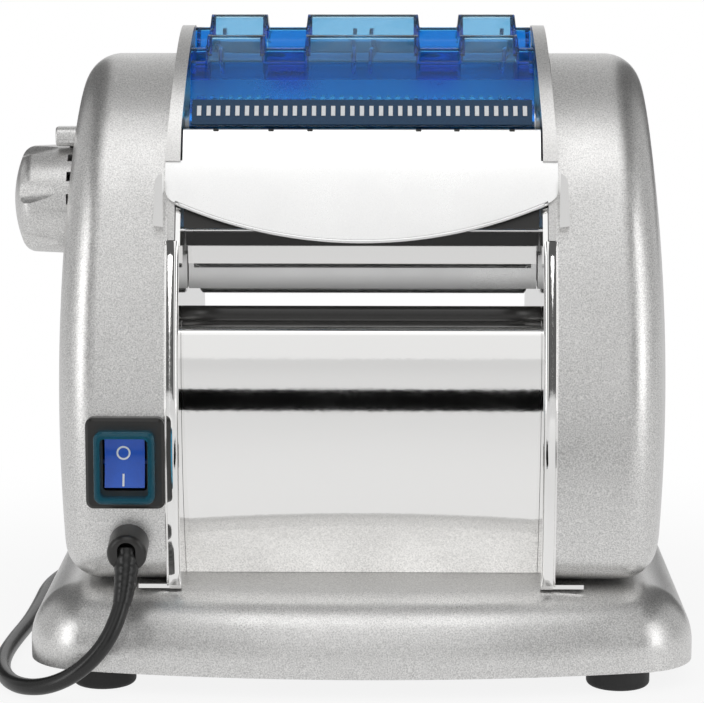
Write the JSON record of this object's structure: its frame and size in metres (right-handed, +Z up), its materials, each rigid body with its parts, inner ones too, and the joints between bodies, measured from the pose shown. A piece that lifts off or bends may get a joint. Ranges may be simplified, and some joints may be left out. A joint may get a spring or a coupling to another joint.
{
  "type": "electric pasta maker",
  "caption": "Countertop electric pasta machine with silver housings, chrome body, sheet rollers, noodle cutters, clear blue guards, thickness knob, rocker switch and mains cord.",
  "frame": {"origin": "on the floor plane under the feet, midway between the knob's face and the base's right end, and midway between the base's front and rear", "axes": "+X to the machine's right as seen from the front, along the rollers; +Y from front to rear; +Z up"},
  "size_m": [0.2977, 0.3188, 0.2772],
  "materials": {
    "silver_paint": "satin silver metallic paint on moulded housings",
    "bright_steel": "polished chrome-plated sheet",
    "satin_steel": "satin chrome-plated sheet",
    "roller_steel": "ground and chrome-plated steel",
    "plain_steel": "plain machined steel",
    "clear_blue": "clear blue plastic",
    "clear_teal": "clear dark teal plastic",
    "rocker_blue": "glossy blue plastic",
    "black_plastic": "fine matt black plastic",
    "white_plastic": "matt off-white nylon",
    "black_rubber": "matt black rubber",
    "cord_black": "smooth black cord jacket",
    "motor_iron": "varnished laminations"
  },
  "bodies": {
    "frame": {"foot_front_left": "black_rubber", "foot_rear_left": "black_rubber", "foot_front_right": "black_rubber", "foot_rear_right": "black_rubber", "base_shell": "silver_paint", "base_plate": "black_plastic", "foot_screws": "plain_steel", "right_housing": "silver_paint", "left_housing": "silver_paint", "right_side_plate": "bright_steel", "left_side_plate": "bright_steel", "front_plate": "bright_steel", "rear_plate": "bright_steel", "tie_rods": "plain_steel", "motor_tray": "satin_steel", "right_cheek": "bright_steel", "left_cheek": "bright_steel", "noodle_cover": "satin_steel", "rear_cover": "satin_steel", "front_guard": "clear_blue", "rear_guard": "clear_blue", "cover_catches": "bright_steel", "noodle_deflector": "satin_steel", "hopper_walls": "satin_steel", "roller_bushes": "plain_steel", "rear_scraper": "satin_steel", "cutter_combs": "white_plastic", "gear_studs": "plain_steel", "motor_stator": "motor_iron", "motor_bracket": "plain_steel", "knob_bracket": "plain_steel", "index_pointer": "silver_paint", "switch_bezel": "black_plastic", "switch_body": "black_plastic", "switch_cover": "clear_teal", "cord_gland": "black_plastic", "cord": "cord_black", "cord_coil": "cord_black", "cord_tail": "cord_black", "mains_plug": "cord_black"},
    "rocker": {"switch_rocker": "rocker_blue"},
    "knob": {"thickness_knob": "silver_paint", "knob_shaft": "plain_steel"},
    "carrier": {"sliding_carriers": "plain_steel", "front_scraper": "satin_steel"},
    "adjustable_roller": {"adjustable_roller": "roller_steel", "adjustable_roller_gear": "plain_steel"},
    "drive_roller": {"drive_roller": "roller_steel", "drive_roller_gear": "plain_steel", "drive_gear": "white_plastic"},
    "cutter_front": {"cutter_front_roller": "roller_steel", "cutter_front_gear": "plain_steel"},
    "cutter_rear": {"cutter_rear_roller": "roller_steel", "cutter_rear_gear": "plain_steel", "cutter_drive_gear": "white_plastic"},
    "idler": {"idler_gear": "white_plastic"},
    "intermediate": {"intermediate_gear": "white_plastic"},
    "rotor": {"motor_rotor": "plain_steel", "motor_fan": "black_plastic"}
  },
  "joints": [
    {"name": "rocker_tilt", "type": "hinge", "parent": "frame", "child": "rocker", "pos_m": [-0.0924, -0.0858, 0.0968], "axis": [1, 0, 0], "range_deg": [0, 12]},
    {"name": "knob_turn", "type": "hinge", "parent": "frame", "child": "knob", "pos_m": [-0.1305, -0.02, 0.1988], "axis": [1, 0, 0], "range_deg": [0, 252]},
    {"name": "roller_gap", "type": "slide", "parent": "frame", "child": "carrier", "axis": [0, -1, 0], "range_m": [0, 0.003]},
    {"name": "drive_roller_spin", "type": "hinge", "parent": "frame", "child": "drive_roller", "pos_m": [0.0045, 0.0129, 0.171], "axis": [1, 0, 0], "continuous": true},
    {"name": "adjustable_roller_spin", "type": "hinge", "parent": "carrier", "child": "adjustable_roller", "pos_m": [0.0045, -0.0192, 0.1872], "axis": [1, 0, 0], "continuous": true},
    {"name": "idler_spin", "type": "hinge", "parent": "frame", "child": "idler", "pos_m": [0.0045, -0.005, 0.20816], "axis": [1, 0, 0], "continuous": true},
    {"name": "cutter_rear_spin", "type": "hinge", "parent": "frame", "child": "cutter_rear", "pos_m": [0.0045, -0.005, 0.23066], "axis": [1, 0, 0], "continuous": true},
    {"name": "cutter_front_spin", "type": "hinge", "parent": "frame", "child": "cutter_front", "pos_m": [0.0045, -0.027, 0.23066], "axis": [1, 0, 0], "continuous": true},
    {"name": "intermediate_gear_spin", "type": "hinge", "parent": "frame", "child": "intermediate", "pos_m": [0.0045, 0.0183, 0.132], "axis": [1, 0, 0], "continuous": true},
    {"name": "motor_rotor_spin", "type": "hinge", "parent": "frame", "child": "rotor", "pos_m": [0.0045, -0.005, 0.10456], "axis": [1, 0, 0], "continuous": true}
  ],
  "couplings": [
    {"joint": "knob_turn", "follows": "roller_gap", "rad_per_m": 1466.1},
    {"joint": "adjustable_roller_spin", "follows": "drive_roller_spin", "ratio": -1},
    {"joint": "idler_spin", "follows": "drive_roller_spin", "ratio": -2.6667},
    {"joint": "cutter_rear_spin", "follows": "drive_roller_spin", "ratio": 2.6667},
    {"joint": "cutter_front_spin", "follows": "drive_roller_spin", "ratio": -2.6667},
    {"joint": "intermediate_gear_spin", "follows": "drive_roller_spin", "ratio": -3.2},
    {"joint": "motor_rotor_spin", "follows": "drive_roller_spin", "ratio": 16}
  ]
}
